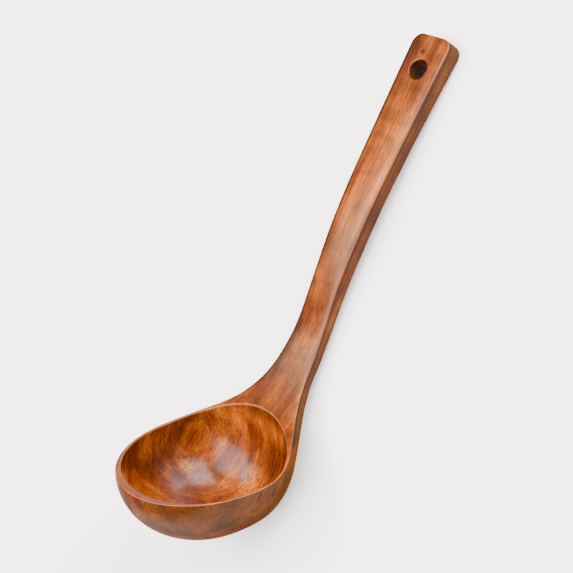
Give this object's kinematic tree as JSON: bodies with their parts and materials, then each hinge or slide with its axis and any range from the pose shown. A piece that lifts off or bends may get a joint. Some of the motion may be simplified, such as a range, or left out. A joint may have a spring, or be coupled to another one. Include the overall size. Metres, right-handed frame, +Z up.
{
  "type": "soup ladle",
  "caption": "One-piece carved wooden soup ladle: round hollowed bowl with a thin lip, a flared root and a flat-faced handle that leans back, with a hanging hole.",
  "frame": {"origin": "on the table under the middle of the ladle's overall box, with the ladle lying as it comes to rest: on its bowl's back and its handle's end", "axes": "+Z up from the table; +X along the ladle from its bowl to its handle's end, the bowl's mouth facing up and towards +X; +Y across the ladle, square to its plane of symmetry"},
  "size_m": [0.3042, 0.088, 0.0911],
  "materials": {
    "lacquered_wood": "clear gloss lacquer over reddish-brown wood, grain along the handle"
  },
  "bodies": {
    "root": {"bowl": "lacquered_wood", "handle": "lacquered_wood"}
  },
  "joints": []
}
